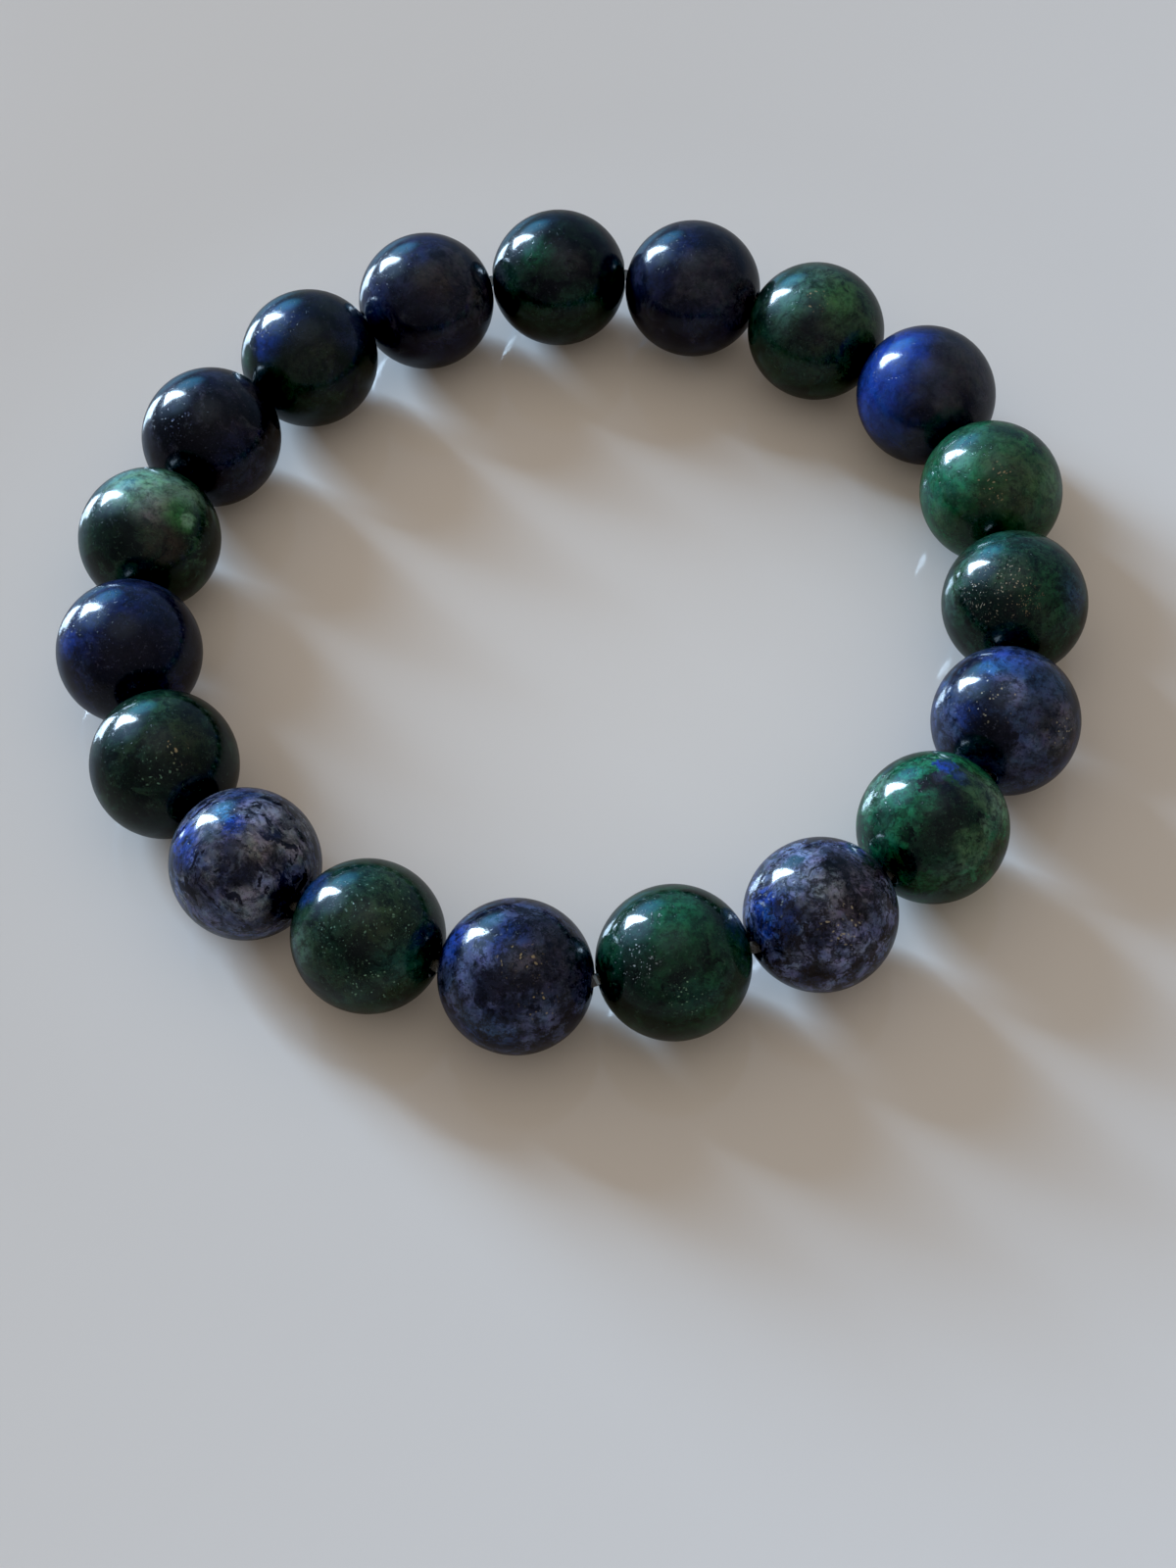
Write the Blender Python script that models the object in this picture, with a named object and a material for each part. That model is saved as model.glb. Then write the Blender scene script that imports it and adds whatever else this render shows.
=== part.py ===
# Stretch bracelet: round polished blue and green copper mineral beads on one clear elastic cord.
# Metres, +Z up. It lies flat on z = 0, and the origin is under the middle of the ring.
# The beads are numbered counter-clockwise seen from above, from the one nearest the wearer's side, -Y.

import math

import bmesh
import bpy
from mathutils import Matrix, Vector

BEAD_DIAMETER = 0.010
BEAD_PLAY = 0.00005
BEAD_RADIUS = BEAD_DIAMETER / 2
PITCH = BEAD_DIAMETER + BEAD_PLAY

BORE_RADIUS = 0.0007
RIM_RADIUS = 0.00105
RIM_DEPTH = 0.00015

# An odd number of facets from rim to rim leaves a flat one in the middle, for the bead to lie on.
FACETS_AROUND = 18
FACETS_RIM_TO_RIM = 9

CORD_DIAMETER = 0.0008
CORD_STRAIGHT = 0.0086
CORD_BEND_POINTS = (1 / 3, 2 / 3)

FIRST_BEAD_ANGLE = math.radians(-99.6)

# Base colour of each kind of stone, and the word for it in a bead's name.
STONES = {
    "navy": ("blue", (0.020, 0.030, 0.075)),
    "royal": ("blue", (0.026, 0.055, 0.200)),
    "slate": ("blue", (0.120, 0.150, 0.240)),
    "pine": ("green", (0.014, 0.052, 0.040)),
    "moss": ("green", (0.030, 0.100, 0.060)),
    "emerald": ("green", (0.018, 0.140, 0.095)),
    "sea": ("green", (0.085, 0.180, 0.130)),
    "mixed": ("blue_green", (0.022, 0.055, 0.110)),
}

# Each bead's stone, and how far it sits outside the true circle, in millimetres.
BEADS = [
    ("navy", 0.2),
    ("pine", -0.2),
    ("slate", 0.1),
    ("emerald", 0.0),
    ("royal", 0.3),
    ("pine", -0.4),
    ("moss", 0.0),
    ("royal", 0.5),
    ("moss", -0.3),
    ("navy", -0.1),
    ("pine", 0.1),
    ("navy", 0.1),
    ("mixed", -0.3),
    ("navy", 0.0),
    ("sea", 0.1),
    ("navy", 0.3),
    ("pine", 0.0),
    ("slate", -0.1),
    ("pine", -0.2),
]


def clear_scene():
    for thing in list(bpy.data.objects):
        bpy.data.objects.remove(thing, do_unlink=True)


def material(name, colour, roughness, alpha=1.0):
    finish = bpy.data.materials.new(name)
    finish.use_nodes = True
    shader = finish.node_tree.nodes["Principled BSDF"]
    shader.inputs["Base Color"].default_value = (*colour, 1.0)
    shader.inputs["Roughness"].default_value = roughness
    shader.inputs["Metallic"].default_value = 0.0
    shader.inputs["Alpha"].default_value = alpha
    return finish


def add_object(name, data, finish):
    thing = bpy.data.objects.new(name, data)
    bpy.context.scene.collection.objects.link(thing)
    data.materials.append(finish)
    return thing


def distances_from_middle(circle_radius):
    return [circle_radius + nudge / 1000 for _, nudge in BEADS]


def steps_round_circle(circle_radius):
    # The angle from each bead to the next that leaves their centres one pitch apart.
    reach = distances_from_middle(circle_radius)
    steps = []
    for here, there in zip(reach, reach[1:] + reach[:1]):
        cosine = (here**2 + there**2 - PITCH**2) / (2 * here * there)
        steps.append(math.acos(cosine))
    return steps


def closing_radius():
    # The circle on which the last bead meets the first, found by halving.
    even_circle = PITCH / (2 * math.sin(math.pi / len(BEADS)))
    low, high = 0.95 * even_circle, 1.05 * even_circle
    for _ in range(50):
        middle = (low + high) / 2
        if sum(steps_round_circle(middle)) > 2 * math.pi:
            low = middle
        else:
            high = middle
    return middle


def bead_centres():
    circle_radius = closing_radius()
    angle = FIRST_BEAD_ANGLE
    centres = []
    for reach, step in zip(distances_from_middle(circle_radius), steps_round_circle(circle_radius)):
        centres.append(Vector((reach * math.cos(angle), reach * math.sin(angle), BEAD_RADIUS)))
        angle += step
    across = [centre.x for centre in centres]
    along = [centre.y for centre in centres]
    middle = Vector((min(across) + max(across), min(along) + max(along), 0)) / 2
    return [centre - middle for centre in centres]


def bore_directions(centres):
    before = centres[-1:] + centres[:-1]
    after = centres[1:] + centres[:1]
    return [(b - a).normalized() for a, b in zip(before, after)]


def bead_outline():
    # Half of the bead's section, below its bore's axis: the ball from rim to rim, then back down the bore.
    first = math.asin(RIM_RADIUS / BEAD_RADIUS)
    outline = []
    for i in range(FACETS_RIM_TO_RIM + 1):
        angle = first + (math.pi - 2 * first) * i / FACETS_RIM_TO_RIM
        outline.append(Vector((BEAD_RADIUS * math.cos(angle), 0, -BEAD_RADIUS * math.sin(angle))))
    half_bore = outline[0].x - RIM_DEPTH
    outline.append(Vector((-half_bore, 0, -BORE_RADIUS)))
    outline.append(Vector((half_bore, 0, -BORE_RADIUS)))
    return outline


def turned_bead_mesh(name):
    shape = bmesh.new()
    points = [shape.verts.new(point) for point in bead_outline()]
    edges = [shape.edges.new(ends) for ends in zip(points, points[1:] + points[:1])]
    half_facet = Matrix.Rotation(math.pi / FACETS_AROUND, 3, "X")
    bmesh.ops.rotate(shape, cent=(0, 0, 0), matrix=half_facet, verts=points)
    bmesh.ops.spin(
        shape,
        geom=points + edges,
        cent=(0, 0, 0),
        axis=(1, 0, 0),
        angle=2 * math.pi,
        steps=FACETS_AROUND,
        use_merge=True,
    )
    bmesh.ops.remove_doubles(shape, verts=shape.verts, dist=1e-6)
    bmesh.ops.recalc_face_normals(shape, faces=shape.faces)
    mesh = bpy.data.meshes.new(name)
    shape.to_mesh(mesh)
    shape.free()
    mesh.shade_smooth()
    mesh.set_sharp_from_angle(angle=math.radians(35))
    return mesh


def add_beads(centres, directions):
    for number, (stone, _) in enumerate(BEADS, 1):
        word, colour = STONES[stone]
        name = f"bead_{number:02d}_{word}"
        finish = material(f"{name}_stone", colour, roughness=0.12)
        bead = add_object(name, turned_bead_mesh(name), finish)
        direction = directions[number - 1]
        bead.location = centres[number - 1]
        bead.rotation_euler.z = math.atan2(direction.y, direction.x)


def cord_route(centres, directions):
    # Straight through each bead, then round an even bend to the next one's bore.
    count = len(centres)
    half = CORD_STRAIGHT / 2
    route = []
    for i in range(count):
        j = (i + 1) % count
        leave = centres[i] + half * directions[i]
        enter = centres[j] - half * directions[j]
        turn = directions[i].angle(directions[j])
        corner = leave + directions[i] * (enter - leave).length / 2 / math.cos(turn / 2)
        route += [centres[i] - half * directions[i], leave]
        for t in CORD_BEND_POINTS:
            route.append(leave.lerp(corner, t).lerp(corner.lerp(enter, t), t))
    return route


def add_cord(centres, directions):
    route = cord_route(centres, directions)
    curve = bpy.data.curves.new("elastic_cord", "CURVE")
    curve.dimensions = "3D"
    curve.bevel_depth = CORD_DIAMETER / 2
    curve.bevel_resolution = 2
    line = curve.splines.new("POLY")
    line.points.add(len(route) - 1)
    for point, place in zip(line.points, route):
        point.co = (*place, 1)
    line.use_cyclic_u = True
    line.use_smooth = True
    finish = material("elastic_cord_clear", (0.62, 0.62, 0.60), roughness=0.25, alpha=0.6)
    add_object("elastic_cord", curve, finish)


clear_scene()
bead_places = bead_centres()
bores = bore_directions(bead_places)
add_beads(bead_places, bores)
add_cord(bead_places, bores)
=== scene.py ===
# Looks of the stretch bracelet: polished blue and green copper mineral beads on a clear elastic cord
import math

import bmesh
import bpy
from mathutils import Matrix, Vector


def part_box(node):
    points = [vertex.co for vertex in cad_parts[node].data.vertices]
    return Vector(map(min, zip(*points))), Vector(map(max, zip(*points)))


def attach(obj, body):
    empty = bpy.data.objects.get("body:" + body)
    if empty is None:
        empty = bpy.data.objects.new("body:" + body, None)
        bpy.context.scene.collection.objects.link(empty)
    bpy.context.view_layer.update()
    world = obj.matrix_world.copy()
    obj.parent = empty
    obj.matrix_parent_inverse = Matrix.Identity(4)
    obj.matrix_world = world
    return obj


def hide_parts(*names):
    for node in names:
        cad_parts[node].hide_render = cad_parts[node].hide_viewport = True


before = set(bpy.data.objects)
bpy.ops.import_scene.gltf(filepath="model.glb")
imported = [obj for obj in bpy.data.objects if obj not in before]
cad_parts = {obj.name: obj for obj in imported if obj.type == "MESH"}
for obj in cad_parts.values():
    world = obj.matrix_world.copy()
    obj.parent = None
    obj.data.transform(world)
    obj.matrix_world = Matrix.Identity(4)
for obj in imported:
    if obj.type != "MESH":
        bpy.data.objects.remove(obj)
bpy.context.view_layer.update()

print("Frame loaded, setting the camera")

camera = {
    "target": Vector((0.00049, -0.01585, 0.005)),  # the point looked at, metres
    "distance": 0.2072,
    "elevation": 54.8,  # degrees above the floor
    "roll": -3.24,  # degrees, the small tilt of the frame
    "lens": 72.0,  # millimetres
    "filmSide": 36.0,  # its long side, millimetres
}


def cameraAxes():
    elevation = math.radians(camera["elevation"])
    roll = math.radians(camera["roll"])
    back = Vector((0, -math.cos(elevation), math.sin(elevation)))
    level = Vector((1, 0, 0))
    upright = back.cross(level)
    right = math.cos(roll) * level + math.sin(roll) * upright
    return right, back.cross(right), back


def addCamera():
    right, up, back = cameraAxes()
    data = bpy.data.cameras.new("photoCamera")
    data.lens = camera["lens"]
    data.sensor_width = camera["filmSide"]
    data.clip_start = 0.01
    holder = bpy.data.objects.new("photoCamera", data)
    bpy.context.scene.collection.objects.link(holder)
    place = camera["target"] + camera["distance"] * back
    turn = Matrix((right, up, back)).transposed().to_4x4()
    holder.matrix_world = Matrix.Translation(place) @ turn
    bpy.context.scene.camera = holder
    return place


cameraPlace = addCamera()


def deselectAll():
    if bpy.context.mode != "OBJECT":
        bpy.ops.object.mode_set(mode="OBJECT")
    bpy.ops.object.select_all(action="DESELECT")


# Shader sums are written as plain arithmetic on these wrapped sockets
class Wire:
    def __init__(self, board, socket):
        self.board = board
        self.socket = socket

    def __add__(self, other):
        return self.board.sum("ADD", self, other)

    __radd__ = __add__

    def __mul__(self, other):
        return self.board.sum("MULTIPLY", self, other)

    __rmul__ = __mul__

    def __sub__(self, other):
        return self.board.sum("SUBTRACT", self, other)

    def __rsub__(self, other):
        return self.board.sum("SUBTRACT", other, self)

    def __abs__(self):
        return self.board.sum("ABSOLUTE", self, 0.0)


class Board:
    def __init__(self, tree):
        self.tree = tree
        tree.nodes.clear()

    def node(self, kind, settings, sockets, output=0):
        made = self.tree.nodes.new(kind)
        for name, value in settings.items():
            setattr(made, name, value)
        for name, value in sockets.items():
            if isinstance(value, Wire):
                self.tree.links.new(value.socket, made.inputs[name])
            else:
                made.inputs[name].default_value = value
        return Wire(self, made.outputs[output]) if made.outputs else None

    def sum(self, operation, first, second):
        return self.node("ShaderNodeMath", {"operation": operation}, {0: first, 1: second})

    def vector(self, operation, first, second, output=0):
        return self.node("ShaderNodeVectorMath", {"operation": operation}, {0: first, 1: second}, output)

    def scaled(self, vector, factor):
        return self.node("ShaderNodeVectorMath", {"operation": "SCALE"}, {0: vector, "Scale": factor})

    def noise(self, vector, scale, detail=4.0, roughness=0.55, output=0):
        sockets = {"Vector": vector, "Scale": scale, "Detail": detail, "Roughness": roughness}
        return self.node("ShaderNodeTexNoise", {}, sockets, output)

    def band(self, value, low, high):  # 0 at low, 1 at high and smooth between them
        sockets = {"Value": value, "From Min": low, "From Max": high}
        return self.node("ShaderNodeMapRange", {"interpolation_type": "SMOOTHSTEP"}, sockets)

    def mix(self, factor, first, second, blend="MIX"):
        settings = {"data_type": "RGBA", "blend_type": blend, "clamp_factor": True}
        return self.node("ShaderNodeMix", settings, {0: factor, 6: rgba(first), 7: rgba(second)}, 2)


def rgba(colour):
    return colour if isinstance(colour, Wire) else (*colour, 1.0)


print("Modelling one bead")

bead = {
    "radius": 0.005,
    "boreRadius": 0.0007,
    "rimRadius": 0.0009,  # where the drilled hole's chamfer meets the ball
    "rimDepth": 0.0001,
    "segments": 96,  # round the bore
    "rings": 72,  # from end to end
    "boreCuts": 6,  # rings of faces along the bore
    "rimSoftness": 0.00006,  # rounding of the chamfer's edges
    "rimRounds": 3,  # faces across each rounding
    "sharpAngle": 20,  # edges that turn more than this are rounded, degrees
}


def selectWhere(mesh, test):
    edit = bmesh.from_edit_mesh(mesh)
    for vertex in edit.verts:
        vertex.select = test(vertex.co)
    edit.select_flush_mode()
    bmesh.update_edit_mesh(mesh)


# A ball with its poles on the bore's axis. Both poles are cut off, and the open ends are
# extruded in to a chamfer and bridged through the stone as the drilled bore.
def modelBead():
    deselectAll()
    bpy.ops.mesh.primitive_uv_sphere_add(
        segments=bead["segments"],
        ring_count=bead["rings"],
        radius=bead["radius"],
        rotation=(0, math.pi / 2, 0),
    )
    ball = bpy.context.object
    bpy.ops.object.transform_apply(location=True, rotation=True, scale=True)
    rimPlace = math.sqrt(bead["radius"] ** 2 - bead["rimRadius"] ** 2)
    borePlace = rimPlace - bead["rimDepth"]
    narrowing = bead["boreRadius"] / bead["rimRadius"]
    near = 1e-6
    bpy.ops.object.mode_set(mode="EDIT")
    bpy.ops.mesh.select_mode(type="VERT")
    for side in (1, -1):
        bpy.ops.mesh.select_all(action="SELECT")
        bpy.ops.mesh.bisect(
            plane_co=(side * rimPlace, 0, 0),
            plane_no=(side, 0, 0),
            clear_outer=True,
            threshold=near / 10,
        )
    for side in (1, -1):
        selectWhere(ball.data, lambda point: abs(point.x - side * rimPlace) < near)
        inward = (side * (borePlace - rimPlace), 0, 0)
        bpy.ops.mesh.extrude_edges_move(TRANSFORM_OT_translate={"value": inward})
        bpy.ops.transform.resize(
            value=(1, narrowing, narrowing),
            center_override=(side * borePlace, 0, 0),
        )
    selectWhere(ball.data, lambda point: point.yz.length < bead["boreRadius"] + near)
    bpy.ops.mesh.bridge_edge_loops(number_cuts=bead["boreCuts"])
    bpy.ops.mesh.select_all(action="SELECT")
    bpy.ops.mesh.remove_doubles(threshold=near / 10)
    bpy.ops.mesh.normals_make_consistent(inside=False)
    bpy.ops.object.mode_set(mode="OBJECT")
    bevel = ball.modifiers.new("rimSoftness", "BEVEL")
    bevel.limit_method = "ANGLE"
    bevel.angle_limit = math.radians(bead["sharpAngle"])
    bevel.width = bead["rimSoftness"]
    bevel.segments = bead["rimRounds"]
    bpy.ops.object.modifier_apply(modifier=bevel.name)
    bpy.ops.object.shade_smooth()
    return ball


firstBead = modelBead()
print("One bead has", len(firstBead.data.polygons), "faces")

# Colours of the minerals, linear. A few marks use them for painted reflections and painted light.
palette = {
    "black": (0.002, 0.002, 0.003),
    "charcoal": (0.014, 0.013, 0.018),
    "ink": (0.006, 0.007, 0.016),
    "navy": (0.009, 0.014, 0.048),
    "deep": (0.009, 0.026, 0.130),
    "royal": (0.012, 0.046, 0.300),
    "azure": (0.040, 0.240, 0.560),
    "dusk": (0.025, 0.034, 0.074),
    "steel": (0.026, 0.058, 0.150),
    "slate": (0.058, 0.080, 0.175),
    "mist": (0.170, 0.205, 0.350),
    "grey": (0.160, 0.160, 0.178),
    "violet": (0.050, 0.049, 0.076),
    "ash": (0.040, 0.044, 0.058),
    "fog": (0.150, 0.172, 0.225),
    "pitch": (0.004, 0.008, 0.006),
    "pine": (0.010, 0.030, 0.021),
    "moss": (0.040, 0.094, 0.049),
    "leaf": (0.012, 0.088, 0.038),
    "grass": (0.040, 0.200, 0.060),
    "emerald": (0.016, 0.150, 0.084),
    "teal": (0.018, 0.130, 0.115),
    "jade": (0.130, 0.280, 0.215),
    "olive": (0.018, 0.030, 0.015),
    "brown": (0.034, 0.029, 0.023),
    "gold": (0.340, 0.290, 0.180),
    "beige": (0.420, 0.400, 0.310),
    "pearl": (0.300, 0.380, 0.420),
    "mint": (0.200, 0.400, 0.300),
}

# What every bead shares. A bead's own entries take the place of these.
stone = {
    "dark": "ink",
    "mid": "navy",
    "light": "slate",
    "darkness": -0.02,  # more of the stone is dark as this rises
    "lightness": 0.6,  # how much of the light colour shows
    "cloudScale": 1.7,  # clouds in one bead radius
    "bend": 0.9,  # how far the clouds are swirled, in bead radii
    "axis": (0.0, 0.0),  # a banded stone's bands go round this place on its face
    "squeeze": 0.0,  # and get narrower as this rises
    "veins": 0.0,
    "dashes": 0.0,  # dark strokes along the bands
    "mottle": 0.7,
    "crackle": 0.7,  # how much dark stone breaks up the marks
    "speck": "mist",  # the fine pale grains' mineral
    "specks": 0.2,
    "fleckScale": 21.0,  # flecks in one bead radius
    "fleckRarity": 0.5,
    "dullness": 0.0,  # added to the polish's roughness
    "marks": (),
    "flecks": (),
}

# One entry for each bead. A mark is a patch of one colour: right and up from the middle of
# the bead's face as the camera sees it, its size in bead radii, its colour's name in the palette,
# how strong it is and how soft its edge is. Most marks are the stone's minerals; those noted
# below are painted reflections or painted light. Flecks are small grains spread over such a patch.
beadLooks = {
    "bead_01_blue": {
        "seed": 1,
        "mid": "dusk",
        "darkness": 0.0,
        "mottle": 0.95,
        "marks": (
            (-0.82, 0.40, 0.26, "royal", 0.65, 0.5),
            (-0.50, 0.28, 0.22, "slate", 0.9, 0.4),
            (-0.08, 0.48, 0.28, "deep", 0.7, 0.5),
            (-0.65, -0.06, 0.18, "slate", 0.65, 0.3),
            (-0.36, -0.72, 0.38, "steel", 0.6, 0.4),
            (0.26, -0.56, 0.30, "slate", 0.6, 0.4),
            (0.60, 0.15, 0.40, "charcoal", 0.7, 0.5),
            (0.34, 0.52, 0.28, "charcoal", 0.5, 0.5),
            (0.08, 0.18, 0.22, "brown", 0.7, 0.6),
            (-0.18, -0.08, 0.25, "ink", 0.7, 0.5),
            (-0.06, -0.42, 0.20, "ink", 0.75, 0.4),
            (-0.80, -0.22, 0.16, "slate", 0.6, 0.4),
            (0.40, -0.20, 0.14, "dusk", 0.6, 0.5),
        ),
        "flecks": ((0.05, 0.20, 0.30, "gold"), (0.30, -0.35, 0.25, "gold")),
    },
    "bead_02_green": {
        "seed": 2,
        "dark": "pitch",
        "mid": "pine",
        "light": "leaf",
        "darkness": -0.07,
        "lightness": 0.3,
        "mottle": 0.5,
        "fleckScale": 27.0,
        "speck": "jade",
        "marks": (
            (0.05, 0.62, 0.30, "emerald", 0.65, 0.9),
            (0.02, 0.28, 0.25, "leaf", 0.6, 0.8),
            (-0.52, 0.38, 0.32, "teal", 0.12, 0.6),
            (0.12, 0.00, 0.35, "pitch", 0.5, 0.7),
            # painted reflection: this black patch at lower left stands where the neighbouring bead is
            # mirrored
            (-0.62, -0.45, 0.38, "black", 0.8, 0.6),
            (-0.05, -0.75, 0.35, "pitch", 0.7, 0.6),
            (0.32, -0.40, 0.25, "teal", 0.12, 0.6),
            (0.60, 0.60, 0.22, "pitch", 0.6, 0.6),
            (-0.48, -0.05, 0.26, "pitch", 0.5, 0.6),
        ),
        "flecks": (
            (-0.52, 0.12, 0.42, "pearl"),
            (-0.30, 0.60, 0.18, "pearl"),
            (0.20, -0.40, 0.3, "mint"),
        ),
    },
    "bead_03_blue": {
        "seed": 3,
        "dark": "charcoal",
        "mid": "slate",
        "light": "mist",
        "lightness": 0.4,
        "veins": 0.7,
        "mottle": 1.0,
        "crackle": 0.9,
        "fleckScale": 16.0,
        "fleckRarity": 0.4,
        "marks": (
            (-0.40, 0.68, 0.40, "mist", 0.45, 0.4),
            (-0.60, -0.05, 0.38, "deep", 0.8, 0.3),
            (-0.72, 0.12, 0.20, "royal", 0.5, 0.3),
            (-0.52, 0.12, 0.10, "ink", 0.7, 0.2),
            (-0.84, -0.04, 0.08, "ink", 0.7, 0.2),
            (-0.66, -0.02, 0.10, "azure", 0.12, 0.5),
            (-0.70, -0.20, 0.14, "royal", 0.6, 0.3),
            (0.20, 0.60, 0.20, "black", 1.0, 0.2),
            (0.40, 0.86, 0.16, "royal", 0.5, 0.3),
            (0.55, 0.30, 0.36, "violet", 0.9, 0.4),
            (0.80, 0.05, 0.28, "slate", 0.7, 0.4),
            (-0.22, 0.05, 0.17, "black", 0.8, 0.2),
            (-0.05, -0.75, 0.24, "black", 0.8, 0.3),
            (0.35, -0.45, 0.30, "mist", 0.4, 0.4),
            (-0.45, -0.55, 0.25, "slate", 0.7, 0.3),
            (0.00, 0.30, 0.27, "fog", 0.6, 0.5),
            (0.18, -0.02, 0.16, "violet", 0.7, 0.4),
            (-0.02, -0.22, 0.17, "ink", 0.85, 0.4),
            (-0.40, -0.22, 0.15, "ink", 0.7, 0.4),
            (0.82, 0.22, 0.22, "mist", 0.4, 0.5),
            (0.20, 0.82, 0.16, "dusk", 0.7, 0.4),
            (0.42, 0.00, 0.14, "violet", 0.9, 0.4),
            (-0.20, -0.42, 0.15, "ink", 0.6, 0.4),
        ),
        "flecks": (
            (0.28, -0.08, 0.30, "beige"),
            (0.42, -0.35, 0.16, "beige"),
            (-0.60, 0.12, 0.2, "pearl"),
        ),
    },
    "bead_04_green": {
        "seed": 4,
        "dark": "pine",
        "mid": "leaf",
        "light": "emerald",
        "darkness": 0.0,
        "lightness": 0.4,
        "mottle": 0.75,
        "speck": "jade",
        "marks": (
            (-0.42, 0.32, 0.40, "emerald", 0.6, 0.4),
            (-0.22, 0.74, 0.32, "emerald", 1.0, 0.4),
            (-0.62, 0.14, 0.20, "pine", 0.7, 0.5),
            (-0.78, 0.45, 0.28, "jade", 0.5, 0.4),
            (0.17, 0.80, 0.14, "royal", 1.0, 0.2),
            (0.36, 0.62, 0.13, "deep", 1.0, 0.2),
            (0.02, 0.56, 0.20, "charcoal", 1.0, 0.1),
            (0.22, 0.42, 0.18, "ink", 1.0, 0.1),
            (0.10, 0.66, 0.10, "dusk", 0.7, 0.3),
            (0.62, 0.45, 0.30, "moss", 0.7, 0.5),
            (0.85, 0.30, 0.28, "jade", 0.5, 0.5),
            (0.18, 0.03, 0.45, "pitch", 0.9, 0.4),
            (-0.33, -0.10, 0.13, "black", 0.9, 0.2),
            (-0.38, -0.46, 0.24, "black", 1.0, 0.3),
            (0.80, -0.35, 0.25, "brown", 0.6, 0.3),
            (0.62, 0.12, 0.10, "black", 0.8, 0.1),
            (0.70, 0.02, 0.14, "jade", 0.4, 0.2),
            (0.50, -0.25, 0.26, "moss", 0.8, 0.4),
            (0.10, -0.75, 0.40, "pine", 0.6, 0.5),
            (-0.02, 0.36, 0.13, "emerald", 0.6, 0.5),
            (0.35, -0.52, 0.34, "jade", 0.12, 0.7),
        ),
    },
    "bead_05_blue": {
        "seed": 5,
        "mid": "dusk",
        "light": "steel",
        "darkness": -0.05,
        "marks": (
            (0.05, 0.74, 0.36, "royal", 0.7, 0.6),
            (0.10, 0.60, 0.30, "steel", 0.7, 0.7),
            # painted reflection: azure beside the highlight, where the blue light next to the window is
            # mirrored
            (-0.10, 0.72, 0.18, "azure", 0.25, 0.6),
            (0.48, 0.50, 0.30, "steel", 0.5, 0.5),
            (0.00, 0.40, 0.20, "slate", 0.8, 0.6),
            (0.04, 0.43, 0.22, "mist", 0.45, 0.6),
            (-0.80, 0.02, 0.32, "slate", 0.6, 0.4),
            (-0.50, 0.05, 0.20, "deep", 0.7, 0.3),
            (-0.15, 0.33, 0.24, "black", 0.8, 0.4),
            (-0.20, -0.22, 0.34, "black", 0.9, 0.4),
            (0.55, 0.05, 0.34, "dusk", 0.6, 0.5),
            (0.30, -0.40, 0.18, "slate", 0.7, 0.5),
            (0.74, -0.12, 0.32, "grey", 0.32, 0.5),
            (0.30, -0.75, 0.35, "dusk", 0.7, 0.5),
            (0.58, 0.02, 0.15, "ink", 0.6, 0.5),
        ),
        "flecks": ((-0.15, 0.30, 0.35, "beige"), (0.75, -0.15, 0.25, "beige")),
    },
    "bead_06_green": {
        "seed": 6,
        "dark": "pitch",
        "mid": "pine",
        "light": "leaf",
        "darkness": -0.04,
        "lightness": 0.2,
        "fleckScale": 30.0,
        "fleckRarity": 0.35,
        "speck": "jade",
        "marks": (
            # painted reflection: teal above the highlight, where the blue light next to the window is
            # mirrored
            (-0.30, 0.80, 0.35, "teal", 0.4, 0.6),
            (-0.70, 0.45, 0.28, "jade", 0.25, 0.5),
            (-0.88, 0.05, 0.22, "jade", 0.15, 0.5),
            (-0.30, 0.05, 0.42, "black", 0.85, 0.5),
            (0.45, 0.25, 0.30, "leaf", 0.35, 0.8),
            (0.82, 0.15, 0.28, "steel", 0.4, 0.5),
            (-0.05, 0.42, 0.25, "olive", 0.7, 0.6),
            (0.10, -0.55, 0.40, "pitch", 0.8, 0.6),
            (-0.20, 0.42, 0.28, "jade", 0.12, 0.7),
            (0.42, -0.30, 0.22, "moss", 0.25, 0.7),
        ),
        "flecks": (
            (-0.30, 0.20, 0.45, "beige"),
            (0.0, 0.35, 0.3, "beige"),
            (0.15, 0.1, 0.25, "gold"),
        ),
    },
    "bead_07_green": {
        "seed": 7,
        "dullness": 0.03,
        "dark": "pine",
        "mid": "leaf",
        "light": "moss",
        "darkness": -0.08,
        "lightness": 0.7,
        "mottle": 0.5,
        "speck": "jade",
        "marks": (
            (-0.80, 0.10, 0.32, "teal", 0.3, 0.6),
            (-0.40, 0.30, 0.34, "emerald", 0.8, 0.5),
            (-0.55, -0.05, 0.16, "pitch", 0.5, 0.3),
            # painted reflection: teal above the highlight, where the blue light next to the window is
            # mirrored
            (-0.35, 0.70, 0.40, "teal", 0.4, 0.7),
            (-0.40, 0.42, 0.20, "jade", 0.3, 0.7),
            (0.38, 0.52, 0.30, "moss", 0.6, 0.8),
            (0.18, 0.86, 0.20, "pine", 0.9, 0.6),
            (0.30, 0.22, 0.24, "brown", 0.5, 0.7),
            (0.74, 0.17, 0.35, "moss", 1.0, 0.7),
            (0.84, 0.10, 0.22, "jade", 0.2, 0.6),
            (0.42, -0.22, 0.20, "brown", 0.5, 0.6),
            (0.05, -0.02, 0.25, "olive", 0.9, 0.6),
            (0.02, 0.26, 0.20, "leaf", 0.4, 0.7),
            (-0.10, -0.55, 0.45, "pitch", 0.8, 0.6),
            (0.60, -0.50, 0.30, "pine", 0.6, 0.6),
            (0.20, 0.02, 0.36, "moss", 0.35, 0.7),
            (0.00, 0.42, 0.18, "moss", 0.8, 0.7),
            (0.80, -0.16, 0.20, "moss", 0.7, 0.6),
        ),
        "flecks": ((0.10, 0.15, 0.35, "gold"),),
    },
    "bead_08_blue": {
        "seed": 8,
        "dullness": 0.06,
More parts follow.
